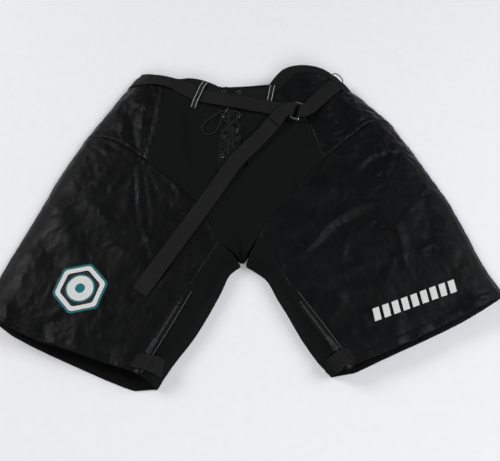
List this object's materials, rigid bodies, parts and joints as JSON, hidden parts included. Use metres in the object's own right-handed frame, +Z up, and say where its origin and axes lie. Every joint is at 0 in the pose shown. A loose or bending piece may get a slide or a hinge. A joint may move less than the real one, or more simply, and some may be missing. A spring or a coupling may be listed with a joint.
{
  "type": "hockey pant shell",
  "caption": "Black ice hockey pant shell lying closed on its back: belted waist, lace-up fly, knit yoke and inner legs, zipped legs with hem tabs.",
  "frame": {"origin": "centre of the bounding box footprint, on the table the garment lies on", "axes": "+X across the garment toward the wearer's left leg, +Y from the leg hems to the waist, +Z up off the table, out of the front of the garment"},
  "size_m": [0.964, 0.6823, 0.0528],
  "materials": {
    "nylon_shell": "black satin-coated woven nylon",
    "stretch_knit": "matt charcoal stretch knit",
    "waistband_cloth": "matt black folded cloth",
    "mesh_cloth": "open black spacer mesh",
    "webbing": "black woven webbing",
    "bright_metal": "nickel plated",
    "zip_tape_cloth": "matt black twill tape",
    "zip_teeth": "black moulded coil",
    "hook_tape": "hook and loop tape",
    "white_print": "white embroidered or printed cloth",
    "lace_cord": "braided black cord",
    "lace_tip": "clear-coated black sleeve"
  },
  "bodies": {
    "shell": {"right_hip_front": "nylon_shell", "right_thigh_front": "nylon_shell", "right_back": "nylon_shell", "left_hip_front": "nylon_shell", "left_thigh_front": "nylon_shell", "left_back": "nylon_shell", "right_yoke": "stretch_knit", "right_inner_leg": "stretch_knit", "left_yoke": "stretch_knit", "left_inner_leg": "stretch_knit", "crotch_gusset": "stretch_knit", "seat": "stretch_knit", "right_waistband": "waistband_cloth", "left_waistband": "waistband_cloth", "back_waistband": "waistband_cloth", "right_fly_placket": "waistband_cloth", "left_fly_placket": "waistband_cloth", "fly_tongue": "mesh_cloth", "right_eyelet_1": "bright_metal", "right_eyelet_2": "bright_metal", "right_eyelet_3": "bright_metal", "right_eyelet_4": "bright_metal", "left_eyelet_1": "bright_metal", "left_eyelet_2": "bright_metal", "left_eyelet_3": "bright_metal", "left_eyelet_4": "bright_metal", "belt_ring_1": "bright_metal", "belt_ring_2": "bright_metal", "right_zip_stop": "bright_metal", "right_zip_box": "bright_metal", "left_zip_stop": "bright_metal", "left_zip_box": "bright_metal", "waist_belt": "webbing", "right_front_belt_loop": "webbing", "left_front_belt_loop": "webbing", "left_side_belt_loop": "webbing", "right_back_belt_loop": "webbing", "left_back_belt_loop": "webbing", "right_zip_tape": "zip_tape_cloth", "right_zip_coil": "zip_teeth", "right_loop_patch": "hook_tape", "left_zip_tape": "zip_tape_cloth", "left_zip_coil": "zip_teeth", "left_loop_patch": "hook_tape", "right_badge": "white_print", "left_mark": "white_print", "fly_lace": "lace_cord", "lace_tip_lower": "lace_tip", "lace_tip_upper": "lace_tip"},
    "right_slider": {"right_zip_slider": "bright_metal"},
    "right_pull": {"right_zip_pull": "bright_metal"},
    "left_slider": {"left_zip_slider": "bright_metal"},
    "left_pull": {"left_zip_pull": "bright_metal"},
    "right_tab": {"right_hem_tab": "webbing", "right_hook_patch": "hook_tape"},
    "left_tab": {"left_hem_tab": "webbing", "left_hook_patch": "hook_tape"},
    "tail": {"belt_tail": "webbing"}
  },
  "joints": [
    {"name": "right_zip_slide", "type": "slide", "parent": "shell", "child": "right_slider", "axis": [0.4771, 0.8789, 0], "range_m": [0, 0.085]},
    {"name": "right_pull_hinge", "type": "hinge", "parent": "right_slider", "child": "right_pull", "pos_m": [-0.16539, -0.28073, 0.0389], "axis": [0.8789, -0.4771, 0], "range_deg": [0, 120]},
    {"name": "left_zip_slide", "type": "slide", "parent": "shell", "child": "left_slider", "axis": [-0.5654, 0.8248, 0], "range_m": [0, 0.085]},
    {"name": "left_pull_hinge", "type": "hinge", "parent": "left_slider", "child": "left_pull", "pos_m": [0.15593, -0.27484, 0.0389], "axis": [0.8248, 0.5654, 0], "range_deg": [0, 120]},
    {"name": "right_tab_lift", "type": "hinge", "parent": "shell", "child": "right_tab", "pos_m": [-0.193, -0.298, 0.03475], "axis": [-0.5039, -0.8638, 0], "range_deg": [0, 135]},
    {"name": "left_tab_lift", "type": "hinge", "parent": "shell", "child": "left_tab", "pos_m": [0.1855, -0.2865, 0.03475], "axis": [-0.5463, 0.8376, 0], "range_deg": [0, 135]},
    {"name": "belt_tail_lift", "type": "hinge", "parent": "shell", "child": "tail", "pos_m": [0.0558, 0.18993, 0.04408], "axis": [-0.7431, 0.6691, 0], "range_deg": [0, 120]}
  ]
}
